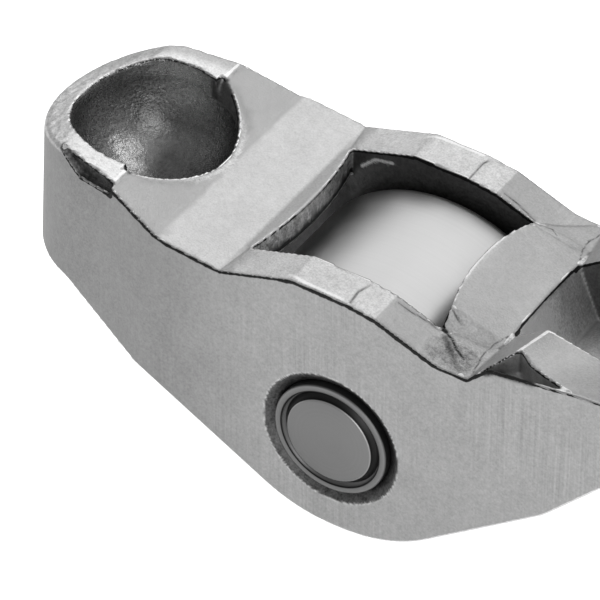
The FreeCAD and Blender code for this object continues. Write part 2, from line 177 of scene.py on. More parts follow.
def lathe(name: str, profile: Sequence[tuple[float, float]], centre: Point, sides: int) -> bpy.types.Object:
    """Turns a closed profile round an axis that lies across the arm.

    Args:
        name: the piece's name.
        profile: radius and distance across the arm of each corner, in millimetres.
        centre: a point on the axis, in millimetres.
        sides: how many faces go round.

    Returns:
        The turned piece, with its faces outwards.
    """
    made = bmesh.new()
    rings = []
    for radius, across in profile:
        if radius < ON_AXIS:
            rings.append([made.verts.new((centre[0] * MM, (centre[1] + across) * MM, centre[2] * MM))])
            continue
        ring = []
        for i in range(sides):
            turn = 2 * math.pi * i / sides
            x = centre[0] + radius * math.cos(turn)
            z = centre[2] + radius * math.sin(turn)
            ring.append(made.verts.new((x * MM, (centre[1] + across) * MM, z * MM)))
        rings.append(ring)
    closed = profile[0][0] > ON_AXIS
    pairs = list(zip(rings, rings[1:] + rings[:1])) if closed else list(zip(rings, rings[1:]))
    for first, second in pairs:
        for i in range(sides):
            j = (i + 1) % sides
            corners = [first[i % len(first)], first[j % len(first)],
                       second[j % len(second)], second[i % len(second)]]
            made.faces.new(list(dict.fromkeys(corners)))
    bmesh.ops.recalc_face_normals(made, faces=made.faces)
    mesh = bpy.data.meshes.new(name)
    made.to_mesh(mesh)
    made.free()
    mesh.shade_smooth()
    return new_object(name, mesh)


@dataclass(frozen=True)
class FormedSteel:
    """Sheet steel that was pressed to shape, case-hardened and tumbled.

    Tumbling leaves a fine matt grain and bright worn edges, which also carry painted highlights; the inner
    corners and creases get painted shade, and the arm's marks paint much of its light and shade. The walls
    keep faint upright lines from the press tool.
    """

    name: str = "formed_steel"
    colour: str = "#C2C2C2"
    # Near white for worn edges and painted highlights; near black for cracks and painted shade.
    worn_and_highlight: str = "#FAFAFA"
    shade: str = "#1E1E1E"
    roughness: float = 0.5
    roughness_spread: float = 0.07
    polish_gain: float = 0.22
    grain_mm: float = 0.13
    grain_contrast: float = 0.45
    grain_half_share: float = 0.4
    grain_height_mm: float = 0.024
    bump_strength: float = 0.8
    pit_mm: float = 0.42
    pit_contrast: float = 0.3
    pit_height: float = 2.5
    blotch_mm: float = 2.6
    blotch_contrast: float = 0.05
    line_mm: float = 0.14
    line_length_mm: float = 9.0
    line_contrast: float = 0.11
    patch_mm: float = 7.0
    patch_span: Span = (0.46, 0.64)
    patch_least: float = 0.15
    wall_mm: Span = (6.6, 7.4)
    edge_raggedness: float = 0.9
    edge_span: Span = (1.5, 1.0)
    fray: float = 0.5
    fray_span: Span = (0.15, 0.75)
    worn_and_highlight_most: float = 0.85
    shade_most: float = 0.95

    def material(self) -> bpy.types.Material:
        """Builds the finish as a node material."""
        material, tree = new_material(self.name)
        place = add_node(tree, "ShaderNodeTexCoord").outputs["Object"]
        marks = {}
        for mark in Mark:
            marks[mark] = add_node(tree, "ShaderNodeAttribute", attribute_name=mark.value).outputs["Fac"]
        grain = self.field(tree, place, self.grain_mm, 3.0)
        pits = self.field(tree, place, self.pit_mm, 4.0)
        blotch = self.field(tree, place, self.blotch_mm, 3.0)
        pitted = self.scaled(tree, pits, marks[Mark.GRAIN], self.pit_contrast)
        lines = self.wall_lines(tree, place)
        over = maths(tree, "ADD", marks[Mark.GRAIN], self.grain_half_share)
        strength = maths(tree, "DIVIDE", marks[Mark.GRAIN], over)
        fine = self.scaled(tree, grain, strength, self.grain_contrast)
        blotched = self.spread(tree, blotch, self.blotch_contrast)
        level: Any = 1.0
        for part in (fine, blotched, pitted, lines):
            level = maths(tree, "ADD", level, part)
        # The zones' level paints light and shade: facets lighter or darker for how they are lit, and hollows
        # darkened.
        toned = maths(tree, "MULTIPLY", level, marks[Mark.LIGHT_AND_TONE])
        ground = add_node(tree, "ShaderNodeVectorMath", {
            0: linear(self.colour)[:3], "Scale": toned}, operation="SCALE")
        # Bright lines and marks are wear with painted highlights; dark ones are cracks and painted shade in
        # corners, creases and under top edges.
        bright = self.or_line(tree, marks[Mark.WEAR_AND_HIGHLIGHT], marks[Mark.EDGE], pits)
        dark = self.or_line(tree, marks[Mark.SHADE_AND_CRACK], marks[Mark.CREST], pits)
        worn_and_highlight = self.mixed(tree, ground.outputs[0], self.worn_and_highlight, bright, grain, self.worn_and_highlight_most)
        shaded = self.mixed(tree, worn_and_highlight, self.shade, dark, grain, self.shade_most)
        rough = mapped(tree, grain, NOISE, around(self.roughness, self.roughness_spread))
        polished = maths(tree, "MULTIPLY_ADD", marks[Mark.POLISH], -self.polish_gain, rough)
        coarse = maths(tree, "MULTIPLY_ADD", pitted, self.pit_height, grain)
        height = maths(tree, "ADD", coarse, lines)
        bump = add_node(tree, "ShaderNodeBump", {
            "Strength": self.bump_strength, "Distance": self.grain_height_mm * MM, "Height": height})
        shader = add_node(tree, "ShaderNodeBsdfPrincipled", {
            "Base Color": shaded, "Metallic": 1.0, "Roughness": polished, "Normal": bump.outputs[0]})
        add_node(tree, "ShaderNodeOutputMaterial", {"Surface": shader.outputs[0]})
        return material

    def field(self, tree: Tree, place: Socket, size: float, detail: float) -> Socket:
        """An uneven pattern whose cells are this many millimetres."""
        return add_node(tree, "ShaderNodeTexNoise", {
            "Vector": place, "Scale": per_mm(size), "Detail": detail, "Roughness": 0.6}).outputs["Fac"]

    def spread(self, tree: Tree, pattern: Socket, amount: float) -> Socket:
        """Turns a pattern to changes of level, this much up and down."""
        return mapped(tree, pattern, NOISE, around(0.0, amount))

    def scaled(self, tree: Tree, pattern: Socket, share: Socket, amount: float) -> Socket:
        """Changes of level that show only where a share is given."""
        return maths(tree, "MULTIPLY", self.spread(tree, pattern, amount), share)

    def or_line(self, tree: Tree, share: Socket, gap: Socket, pattern: Socket) -> Socket:
        """Adds an uneven line along an edge to a mark.

        Args:
            tree: the material's node tree.
            share: the mark.
            gap: the distance from the edge, in widths of the line.
            pattern: what makes the line wider and narrower.

        Returns:
            The larger of the mark and the line.
        """
        uneven = maths(tree, "MULTIPLY_ADD", pattern, self.edge_raggedness, gap)
        line = mapped(tree, uneven, self.edge_span, interpolation_type="SMOOTHSTEP")
        return maths(tree, "MAXIMUM", share, line)

    def mixed(self, tree: Tree, under: Socket, colour: str, share: Socket, pattern: Socket,
              most: float) -> Socket:
        """Lays a colour over another where a mark is, broken up by a pattern.

        Args:
            tree: the material's node tree.
            under: the colour so far.
            colour: the colour laid over it.
            share: the mark.
            pattern: what frays the mark's edge.
            most: the largest share of the new colour.

        Returns:
            The new colour.
        """
        frayed = maths(tree, "ADD", pattern, self.fray)
        amount = maths(tree, "MULTIPLY", share, frayed)
        sharp = mapped(tree, amount, self.fray_span, (0.0, most), interpolation_type="SMOOTHSTEP")
        # On this node, inputs 6 and 7 and output 2 are the ones for colours.
        return add_node(tree, "ShaderNodeMix", {
            "Factor": sharp, 6: under, 7: linear(colour)}, data_type="RGBA").outputs[2]

    def wall_lines(self, tree: Tree, place: Socket) -> Socket:
        """Faint upright lines in patches on the outer walls, left by the press tool."""
        lengthwise = per_mm(self.line_length_mm)
        stretched = add_node(tree, "ShaderNodeVectorMath", {
            0: place, 1: (per_mm(self.line_mm), lengthwise, lengthwise)}, operation="MULTIPLY")
        lines = add_node(tree, "ShaderNodeTexNoise", {
            "Vector": stretched.outputs[0], "Scale": 1.0, "Detail": 3.0})
        patch = self.field(tree, place, self.patch_mm, 1.0)
        patches = mapped(tree, patch, self.patch_span, (self.patch_least, 1.0))
        across = add_node(tree, "ShaderNodeSeparateXYZ", {0: place}).outputs["Y"]
        beside = maths(tree, "ABSOLUTE", across)
        wall = mapped(tree, beside, (self.wall_mm[0] * MM, self.wall_mm[1] * MM))
        there = maths(tree, "MULTIPLY", patches, wall)
        return self.scaled(tree, lines.outputs["Fac"], there, self.line_contrast)


@dataclass(frozen=True)
class RoundSteel:
    """Bearing steel that was turned or ground round the roller's axis.

    The tool leaves fine lines that run round the axis, so they show as rings on a face and
    as bands on a tread. The colour is one for all, or one for each of some distances from
    the axis in millimetres.
    """

    name: str
    colour: str | Rings
    roughness: float
    work: Turn
    centre: Point
    roughness_spread: float = 0.03
    line_mm: float = 0.14
    line_contrast: float = 0.015
    line_height_mm: float = 0.0012
    bump_strength: float = 0.5
    cloud_mm: float = 3.0
    cloud_contrast: float = 0.04

    def material(self) -> bpy.types.Material:
        """Builds the finish as a node material."""
        material, tree = new_material(self.name)
        place = add_node(tree, "ShaderNodeTexCoord")
        centred = add_node(tree, "ShaderNodeVectorMath", {
            0: place.outputs["Object"], 1: [c * MM for c in self.centre]}, operation="SUBTRACT")
        parts = add_node(tree, "ShaderNodeSeparateXYZ", {0: centred.outputs[0]})
        flat = add_node(tree, "ShaderNodeCombineXYZ", {"X": parts.outputs["X"], "Y": parts.outputs["Z"]})
        radius = add_node(tree, "ShaderNodeVectorMath", {0: flat.outputs[0]}, operation="LENGTH")
        step = radius.outputs["Value"] if self.work is Turn.TURNED else parts.outputs["Y"]
        scaled = maths(tree, "MULTIPLY", step, per_mm(self.line_mm))
        lines = add_node(tree, "ShaderNodeTexNoise", {
            "W": scaled, "Scale": 1.0, "Detail": 2.0}, noise_dimensions="1D").outputs["Fac"]
        cloud = add_node(tree, "ShaderNodeTexNoise", {
            "Vector": place.outputs["Object"], "Scale": per_mm(self.cloud_mm), "Detail": 3.0}).outputs["Fac"]
        line_level = mapped(tree, lines, NOISE, around(0.0, self.line_contrast))
        cloud_level = mapped(tree, cloud, NOISE, around(1.0, self.cloud_contrast))
        level = maths(tree, "ADD", line_level, cloud_level)
        if isinstance(self.colour, str):
            base: Any = linear(self.colour)[:3]
        else:
            base = self.ring_colours(tree, self.colour, radius.outputs["Value"])
        ground = add_node(tree, "ShaderNodeVectorMath", {0: base, "Scale": level}, operation="SCALE")
        rough = mapped(tree, cloud, NOISE, around(self.roughness, self.roughness_spread))
        bump = add_node(tree, "ShaderNodeBump", {
            "Strength": self.bump_strength, "Distance": self.line_height_mm * MM, "Height": lines})
        shader = add_node(tree, "ShaderNodeBsdfPrincipled", {
            "Base Color": ground.outputs[0], "Metallic": 1.0, "Roughness": rough, "Normal": bump.outputs[0]})
        add_node(tree, "ShaderNodeOutputMaterial", {"Surface": shader.outputs[0]})
        return material

    def ring_colours(self, tree: Tree, rings: Rings, radius: Socket) -> Socket:
        """Colours that change with the distance from the axis.

        Args:
            tree: the material's node tree.
            rings: the distances from the axis in millimetres, and their colours.
            radius: the distance from the axis, in metres.

        Returns:
            The colour at that distance.
        """
        widest = rings[-1][0]
        share = maths(tree, "MULTIPLY", radius, per_mm(widest))
        stops = add_node(tree, "ShaderNodeValToRGB", {"Fac": share})
        for i, (distance, colour) in enumerate(rings):
            stop = stops.color_ramp.elements[i] if i < 2 else stops.color_ramp.elements.new(1.0)
            stop.position = distance / widest
            stop.color = linear(colour)
        return stops.outputs["Color"]


@dataclass(frozen=True)
class Seam:
    """A line or band on the arm that is sunk, darkened for a crack and for painted shade, brightened for wear
    and for painted highlights, or rough.
    """

    points: tuple[Point, ...]
    width: float
    depth: float = 0.0
    shade_and_crack: float = 0.0
    wear_and_highlight: float = 0.0
    grain: float = 0.0
    both_sides: bool = False

    def share(self, places: np.ndarray) -> np.ndarray:
        """How strongly each place belongs to the line, from nought to one.

        Args:
            places: one row of millimetres for each place.

        Returns:
            One share for each place.
        """
        nearest = np.full(len(places), np.inf)
        for start, end in zip(self.points, self.points[1:]):
            first, run = np.array(start), np.subtract(end, start)
            for side in ((1, -1) if self.both_sides else (1,)):
                turned = places * (1, side, 1)
                along = np.clip((turned - first) @ run / (run @ run), 0, 1)
                gap = np.linalg.norm(turned - first - along[:, None] * run, axis=1)
                nearest = np.minimum(nearest, gap)
        return np.exp(-(nearest / self.width) ** 2)


def between(values: np.ndarray, low: float, high: float) -> np.ndarray:
    """Rises evenly from nought at one value to one at another."""
    return np.clip((values - low) / (high - low), 0, 1)


def in_box(place: Point, box: tuple[Point, Point]) -> bool:
    """Whether a place is inside the box between two corners."""
    return all(low < value < high for low, value, high in zip(box[0], place, box[1]))


@dataclass(frozen=True)
class Zone:
    """A part of the arm painted brighter or darker than the rest, mostly as painted light and shade, and
    rougher or smoother.

    Each limit gives the span that a measure lies in, and how softly it ends where that isn't the
    zone's own softness. The measures are the place along the arm, its side, its distance beside
    the middle, its height, its distance from the ball's centre (bowl), from the socket's axis
    (mouth), from the roller's axis (spin) and from the nose's wall (nose), and how far its face
    looks up, ahead or outwards.
    """

    tone: float
    grain: float
    limits: dict[str, tuple[float, ...]]
    soft: float = 0.1
    polish: float = 0.0

    def share(self, measures: dict[str, np.ndarray]) -> np.ndarray:
        """How strongly each place belongs to the zone, from nought to one.

        Args:
            measures: the named measures of all places.

        Returns:
            One share for each place.
        """
        share = np.ones(len(measures["along"]))
        for name, (low, high, *own) in self.limits.items():
            half = (own[0] if own else self.soft) / 2
            share *= between(measures[name], low - half, low + half)
            share *= between(measures[name], high + half, high - half)
        return share


# Past every measure of the arm.
FAR = 99.0
RAILS = {"beside": (5.45, FAR), "up": (0.6, FAR)}
INSIDE = {"beside": (0.0, 5.47), "along": (6.0, 26.2), "up": (-FAR, 0.7)}
POCKET = {"beside": (0.0, 3.8), "along": (26.3, FAR)}
ZONES = (
    # The walls: round the nose and all along the sides, darker than the tops as painted shade, and painted
    # lighter towards the tip as if lit more there.
    Zone(0.63, 0.25, {"nose": (-0.15, FAR), "up": (-0.5, 0.5), "along": (-FAR, 6.0, 1.0)}),
    Zone(0.66, 0.2, {"outward": (0.5, FAR), "beside": (7.0, FAR)}),
    Zone(0.87, 0.2, {"outward": (0.5, FAR), "beside": (7.0, FAR), "along": (9.0, FAR, 7.0)}),
    # The top: the flat step beside the socket, the ramp, and the band at the window, each painted lighter or
    # darker for how its facet is lit.
    Zone(0.9, 0.02, {"up": (0.8, FAR), "along": (1.75, 5.35), "mouth": (5.0, FAR), "height": (-0.8, 0.9)}),
    Zone(1.2, 0.2, {"up": (0.8, FAR), "along": (5.35, 9.55), "height": (-1.5, FAR)}),
    Zone(1.0, 0.2, {"up": (0.8, FAR), "along": (9.55, 10.9), "height": (-1.5, FAR)}),
    # The rails beside the window, and the top faces from there to the tip, each painted lighter or darker for
    # how its facet is lit.
    Zone(1.36, 0.25, {**RAILS, "along": (10.4, 14.1)}),
    Zone(1.22, 0.4, {**RAILS, "along": (14.1, 19.8)}),
    Zone(0.86, 0.2, {**RAILS, "along": (19.8, 22.4)}),
    Zone(0.9, 0.2, {"up": (0.6, FAR), "along": (22.4, FAR), "height": (-2.2, FAR)}),
    # The bridge's bevels, painted lighter as if lit, and the rough patch on its near shoulder.
    Zone(1.4, 0.2, {"beside": (4.2, 5.8), "along": (22.3, 26.3), "outward": (0.35, 0.8, 0.2),
                    "up": (0.6, FAR)}),
    Zone(0.62, 1.4, {"side": (-7.7, -6.0, 0.5), "along": (22.9, 25.6, 0.6), "height": (-2.2, -1.2)}),
    # The rim, painted lighter for its highlights; its far outside, a little darker; the fold beside it, with
    # painted shade; and the band round the socket's mouth, with a painted highlight.
    Zone(1.3, 0.3, {"up": (0.3, FAR), "along": (-FAR, 1.6), "height": (0.3, FAR), "mouth": (4.8, FAR)},
         soft=0.3, polish=0.5),
    Zone(0.95, 0.2, {"nose": (-1.0, FAR, 0.6), "side": (2.0, FAR, 3.0), "along": (-FAR, 1.6),
                     "up": (0.3, FAR)}),
    Zone(0.12, 2.0, {"nose": (-0.47, -0.07), "along": (-2.6, 1.58), "side": (-FAR, -3.0),
                     "height": (0.3, 1.6)}, soft=0.06),
    Zone(1.22, 0.8, {"mouth": (4.95, 5.28, 0.1), "along": (3.6, FAR, 1.0), "side": (-3.0, 3.6, 1.0),
                     "up": (0.5, FAR)}),
    # The socket's painted shade: all of it, darker on the half by the ramp and on its floor, and darkest
    # where it mirrors the front lamp, to hide that reflection.
    Zone(0.95, 0.5, {"bowl": (0.0, 5.02), "height": (-FAR, 1.9)}, polish=1.0),
    Zone(0.48, 0.5, {"bowl": (0.0, 5.02), "height": (-FAR, 1.0), "along": (0.5, FAR, 3.0)}, polish=1.0),
    Zone(0.34, 0.5, {"bowl": (0.0, 5.02), "height": (-FAR, -3.2, 1.6), "along": (-1.6, FAR, 1.4)},
         polish=1.0),
    Zone(0.24, 0.5, {"bowl": (0.0, 5.02), "up": (0.2, 0.66, 0.3), "outward": (-0.97, -0.42, 0.3),
                     "ahead": (-0.4, 0.76, 0.2), "side": (0.8, FAR, 1.0)}, polish=1.0),
    # The lead into the socket, with painted shade inside and a painted highlight along its top.
    Zone(0.22, 0.6, {"mouth": (0.0, 5.6), "along": (0.9, 6.0), "up": (-FAR, 0.9), "height": (-0.35, 0.9)}),
    Zone(0.9, 0.8, {"mouth": (4.85, 5.6), "along": (2.0, 6.0), "up": (-FAR, 0.9),
                    "side": (-FAR, 2.4, 2.0), "height": (-0.2, 0.9)}),
    # Painted shade inside the window and under the ramp, and on the inner walls; the lip's face painted
    # lighter as if lit, with painted shade at its foot.
    Zone(0.45, 0.5, {**INSIDE, "height": (-FAR, -0.45)}),
    Zone(0.1, 0.5, {**INSIDE, "height": (-9.0, -0.45)}),
    Zone(0.14, 0.5, {"beside": (0.0, 5.47), "along": (0.0, 8.5), "height": (-FAR, -2.2),
                     "bowl": (6.8, FAR)}),
    Zone(0.2, 0.5, {"beside": (5.2, 5.5), "along": (10.0, 23.0), "outward": (-FAR, -0.6)}),
    Zone(1.1, 1.4, {"beside": (0.0, 5.47), "along": (9.0, 11.4), "height": (-2.15, -0.9),
                    "ahead": (0.7, FAR)}),
    Zone(0.12, 0.5, {"beside": (0.0, 5.47), "along": (9.0, 11.4), "height": (-3.9, -2.15),
                     "ahead": (0.5, FAR)}),
    # The channel for the valve stem, painted lighter, its end wall painted much lighter as if lit, and its
    # side walls with painted shade.
    Zone(1.2, 0.4, POCKET),
    Zone(3.0, 0.4, {**POCKET, "ahead": (0.3, FAR), "side": (-FAR, -0.5, 4.0), "along": (26.3, 27.8)}),
    Zone(0.3, 0.5, {**POCKET, "beside": (3.3, 3.8), "outward": (-FAR, -0.6)}),
    # The pin's hole: a painted highlight on its edge, painted shade in its gap, and the deepest painted shade
    # at the upper right.
    Zone(1.25, 0.3, {"spin": (4.44, 4.52), "beside": (7.2, FAR)}, soft=0.06),
    Zone(0.2, 1.2, {"spin": (0.0, 4.46), "beside": (7.2, FAR)}, soft=0.05),
    Zone(0.07, 0.6, {"spin": (0.0, 4.46), "beside": (7.2, FAR), "along": (17.6, FAR, 1.5),
                     "height": (-10.2, 0.0, 2.0)}, soft=0.05),
)
SEAMS = (
    # Cracks across the rails beside the window.
    Seam(((18.2, -5.8, 0.1), (17.95, -6.7, 0.12), (18.1, -7.7, 0.1)), 0.09, depth=0.07, shade_and_crack=0.9),
    Seam(((17.95, 5.4, 0.12), (17.9, 7.1, 0.12), (18.1, 7.6, 0.11)), 0.09, depth=0.06, shade_and_crack=0.8),
    Seam(((18.1, 7.6, 0.11), (19.2, 8.0, -0.1)), 0.09, depth=0.04, shade_and_crack=0.5),
    # Creases where the rails fall towards the bridge, and where they begin, sunk a little and darkened with
    # painted shade, the second with a painted highlight too.
    Seam(((20.1, -5.85, -0.32), (21.0, -5.8, -0.7), (22.3, -5.55, -1.2)), 0.09, depth=0.05, shade_and_crack=0.65,
         both_sides=True),
    Seam(((9.45, -7.9, -1.1), (9.9, -5.5, -1.0)), 0.12, depth=0.05, shade_and_crack=0.25, wear_and_highlight=0.3, both_sides=True),
    # The cracked near shoulder of the bridge, where the folded tab is drawn only in colour: dark lines for
    # its cracks and painted shade, and a painted highlight along its edge.
    Seam(((23.0, -5.6, -1.35), (23.63, -5.9, -1.4), (24.2, -6.4, -1.52), (24.9, -6.75, -1.63)), 0.1,
         depth=0.03, shade_and_crack=0.8),
    Seam(((22.35, -5.5, -1.15), (23.1, -5.55, -1.4)), 0.14, depth=0.1, shade_and_crack=1.0),
    Seam(((22.75, -4.5, -0.5), (23.3, -4.8, -0.86), (23.66, -4.95, -1.0)), 0.07, depth=0.04, shade_and_crack=0.75),
    Seam(((22.8, -5.0, -0.85), (23.3, -5.15, -1.05), (23.55, -5.35, -1.22), (23.3, -5.6, -1.32)), 0.06,
         wear_and_highlight=0.8),
    # The bridge's front edge, worn bright, with a painted highlight.
    Seam(((22.65, -4.5, -0.4), (22.2, -2.5, -0.1), (22.05, 0.0, 0.0), (22.2, 2.5, -0.1),
          (22.65, 4.5, -0.4)), 0.15, wear_and_highlight=0.9),
    # A rough painted highlight low in the socket, where a lamp would show in it.
    Seam(((-3.5, 0.95, -3.1), (-2.9, 0.9, -3.7), (-2.0, 0.9, -4.25)), 0.6, wear_and_highlight=0.5, grain=1.6),
    # Creases on the bridge's far shoulder and along its back corners, darkened with painted shade.
    Seam(((22.76, 4.28, -0.45), (22.9, 5.3, -1.1), (23.5, 5.5, -1.3), (24.1, 4.9, -1.05)), 0.09, shade_and_crack=0.6),
    Seam(((26.17, -3.89, -1.4), (25.77, -4.97, -1.46), (25.6, -5.88, -1.62), (25.82, -7.3, -1.8)), 0.07,
         shade_and_crack=0.6, both_sides=True),
    # Four short scratches on the bridge.
    Seam(((22.94, -1.19, -0.05), (23.35, -1.25, -0.12)), 0.06, shade_and_crack=0.7),
    Seam(((24.12, -1.53, -0.35), (24.55, -1.6, -0.45)), 0.06, shade_and_crack=0.7),
    Seam(((24.34, -0.24, -0.35), (24.7, -0.3, -0.45)), 0.06, shade_and_crack=0.6),
    Seam(((25.05, -4.2, -0.75), (25.35, -4.25, -0.85)), 0.06, shade_and_crack=0.7),
    # Painted shade in the hollows behind the bridge, beside the channel.
    Seam(((26.9, -7.1, -1.9), (27.8, -6.9, -1.95)), 0.5, shade_and_crack=0.95, both_sides=True),
    Seam(((26.9, -7.95, -0.85), (27.43, -7.83, -0.57), (28.5, -7.85, -0.46), (29.8, -7.85, -0.32)), 0.3,
         shade_and_crack=0.85),
    Seam(((27.8, -7.0, -1.9), (29.8, -7.4, -1.2)), 0.45, shade_and_crack=0.5, grain=1.0, both_sides=True),
    # Edges worn bright with painted highlights on the rails, in the window and in the channel, and a painted
    # glint on the window's far inner wall.
    Seam(((14.0, -7.5, 0.18), (14.9, -7.7, 0.28), (17.6, -7.75, 0.14)), 0.13, wear_and_highlight=0.9, both_sides=True),
    Seam(((14.05, -6.2, 0.2), (14.15, -5.4, 0.22)), 0.2, wear_and_highlight=0.35, both_sides=True),
    Seam(((10.8, 5.4, -1.9), (11.7, 5.4, -1.05), (12.9, 5.4, -0.84)), 0.13, wear_and_highlight=0.8),
    Seam(((11.2, -5.42, -0.4), (11.6, -5.42, -0.35)), 0.14, wear_and_highlight=0.9),
    Seam(((26.4, 3.7, -1.6), (27.7, 3.7, -4.85)), 0.08, wear_and_highlight=0.8),
    # Painted shade at the foot of the channel's end wall, sunk a little.
    Seam(((27.7, -3.6, -4.85), (27.7, 3.6, -4.85)), 0.08, depth=0.04, shade_and_crack=0.5),
)
# How wide the painted dark line is under the top edge of a steep face, along the arm; it stands in for the
# shade at that edge.
OUTLINE = ((-6.0, 0.1), (1.0, 0.1), (1.6, 0.2), (9.0, 0.2), (9.8, 0.15), (13.4, 0.14), (14.2, 0.26),
           (23.5, 0.24), (25.0, 0.15), (42.0, 0.1))


@dataclass
class ArmBody:
    """The formed arm, as an even mesh with rounded, slightly uneven edges."""

    node: str = "arm_body"
    voxel_mm: float = 0.12
    smoothing: float = 0.5
    smoothing_rounds: int = 3
    triangles: int = 192_000
    keep_mm: float = 0.42
    least_rim: float = 0.01
    least_seam: float = 0.05
    sharp_degrees: float = 24.0
    edge_step_mm: float = 0.06
    crest_above: float = -2.3
    bridge_span: Span = (22.2, 26.2)
    bridge_above: float = -2.1
    bridge_ends: tuple[Point, Point] = ((22.9, 3.9, -2.1), (25.6, 7.8, FAR))
    socket_lead: tuple[Point, Point] = ((0.9, 3.2, -FAR), (2.5, 5.2, 0.9))
    # The bright edge line is wear with a painted highlight; the inner corners get painted shade, and the
    # rim's wear has painted highlights.
    edge_wear_and_highlight_mm: float = 0.12
    edge_round: float = 0.05
    crevice_mm: float = 0.2
    corner_shade: float = 0.5
    rim_wear_and_highlight: float = 0.3
    plain_grain: float = 0.25
    steep: Span = (0.92, 0.72)
    crest_fade: Span = (0.8, 0.4)
    pin_hole: Span = (5.2, 5.0)
    outer_wall: float = 7.0
    no_line: float = 4.0
    nose_shift: float = 0.35
    nose_radius: float = 6.7
    nose_flare: float = 11.5
    nose_draft: float = 0.0454
    bowl_top: float = 0.25
    rim_end: Span = (1.75, 1.45)
    rim_height: Span = (0.25, 0.5)
    rim_facing: Span = (0.25, 0.5)
    hammer_mm: float = 0.42
    hammer_depth_mm: float = 0.035
    hammer_falloff: float = 0.7
    hammer_step: float = 2.0
    hammer_layers: int = 3

    def build(self, finish: FormedSteel) -> bpy.types.Object:
        """Makes the arm, marks its edges and gives it its finish.

        Args:
            finish: the steel's finish.

        Returns:
            The arm, riding on the body named arm.
        """
        merged = self.merged_copy()
        trees = self.edge_trees(merged)
        mesh = bpy.data.meshes.new("formed_arm")
        merged.to_mesh(mesh)
        merged.free()
        arm = new_object("formed_arm", mesh)
        self.even(arm)
        self.press(arm)
        self.thin(arm, trees)
        self.mark(arm, trees)
        arm.data.materials.clear()
        arm.data.materials.append(finish.material())
        arm.data.shade_smooth()
        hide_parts(self.node)
        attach(arm, "arm")
        return arm

    def merged_copy(self) -> bmesh.types.BMesh:
        """A copy of the solid's mesh with its loose triangles joined."""
        merged = bmesh.new()
        merged.from_mesh(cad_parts[self.node].data)
        bmesh.ops.remove_doubles(merged, verts=merged.verts, dist=0.001 * MM)
        return merged

    def edge_trees(self, merged: bmesh.types.BMesh) -> list[kdtree.KDTree]:
        """Finds points along the solid's sharp edges.

        Args:
            merged: the solid's joined mesh.

        Returns:
            The points on outer edges, those on inner corners, and those along the top edges
            of the steep faces, for quick search.
        """
        outer: list[Vector] = []
        inner: list[Vector] = []
        limit = math.radians(self.sharp_degrees)
        for edge in merged.edges:
            if len(edge.link_faces) != 2 or edge.calc_face_angle() < limit:
                continue
            start, end = (vert.co for vert in edge.verts)
            count = max(1, round((end - start).length / (self.edge_step_mm * MM)))
            points = outer if edge.is_convex else inner
            points.extend(start.lerp(end, i / count) for i in range(count + 1))
        outer = [point for point in outer if not self.soft_edge(point / MM)]
        crest = [point for point in outer if point.z > self.crest_above * MM]
        front, back = (place * MM for place in self.bridge_span)
        above = self.bridge_above * MM
        inner = [point for point in inner if not (front < point.x < back and point.z > above)]
        trees = []
        for points in (outer, inner, crest):
            tree = kdtree.KDTree(len(points))
            for i, point in enumerate(points):
                tree.insert(point, i)
            tree.balance()
            trees.append(tree)
        return trees

    def soft_edge(self, point: Vector) -> bool:
        """Whether an edge is blended: by the bridge's ends, or at the lead into the socket."""
        either_side = (point.x, abs(point.y), point.z)
        return in_box(either_side, self.bridge_ends) or in_box(tuple(point), self.socket_lead)

    def even(self, arm: bpy.types.Object) -> None:
        """Gives the arm even faces and softly rounded edges."""
        remesh = arm.modifiers.new("even", "REMESH")
        remesh.mode = "VOXEL"
        remesh.voxel_size = self.voxel_mm * MM
        smooth = arm.modifiers.new("soft", "SMOOTH")
        smooth.factor = self.smoothing
        smooth.iterations = self.smoothing_rounds
        baked(arm)

    def gaps(self, arm: bpy.types.Object, trees: Sequence[kdtree.KDTree]) -> np.ndarray:
        """How far every point of the arm is from the nearest point of each tree, in millimetres."""
        found = [[tree.find(vert.co)[2] for vert in arm.data.vertices] for tree in trees]
        return np.array(found) / MM

    def thin(self, arm: bpy.types.Object, trees: Sequence[kdtree.KDTree]) -> None:
        """Takes faces from the flats, and none by the edges and seams, to bring the arm down to its set
        number of triangles.
        """
        arm.data.calc_loop_triangles()
        total = len(arm.data.loop_triangles)
        places, facing = self.places(arm)
        keep = self.gaps(arm, trees).min(axis=0) < self.keep_mm
        keep |= self.rim(places, facing) > self.least_rim
        for seam in SEAMS:
            keep |= seam.share(places) > self.least_seam
        LOG.info("even arm has %d triangles, and keeps %d points", total, keep.sum())
        flats = arm.vertex_groups.new(name="flats")
        flats.add(np.flatnonzero(~keep).tolist(), 1.0, "REPLACE")
        fewer = arm.modifiers.new("fewer", "DECIMATE")
        fewer.ratio = min(1.0, self.triangles / total)
        fewer.vertex_group = flats.name
        baked(arm)
        arm.vertex_groups.clear()

    def places(self, arm: bpy.types.Object) -> tuple[np.ndarray, np.ndarray]:
        """Every point of the arm in millimetres, and the direction it faces."""
        count = len(arm.data.vertices)
        places = np.empty(count * 3)
        facing = np.empty(count * 3)
        arm.data.vertices.foreach_get("co", places)
        arm.data.vertex_normals.foreach_get("vector", facing)
        return places.reshape(-1, 3) / MM, facing.reshape(-1, 3)

    def rim(self, places: np.ndarray, facing: np.ndarray) -> np.ndarray:
        """How far each point is on the raised, hammered rim about the socket."""
        x, _, z = places.T
        raised = between(x, *self.rim_end) * between(z, *self.rim_height)
        return raised * between(facing[:, 2], *self.rim_facing)

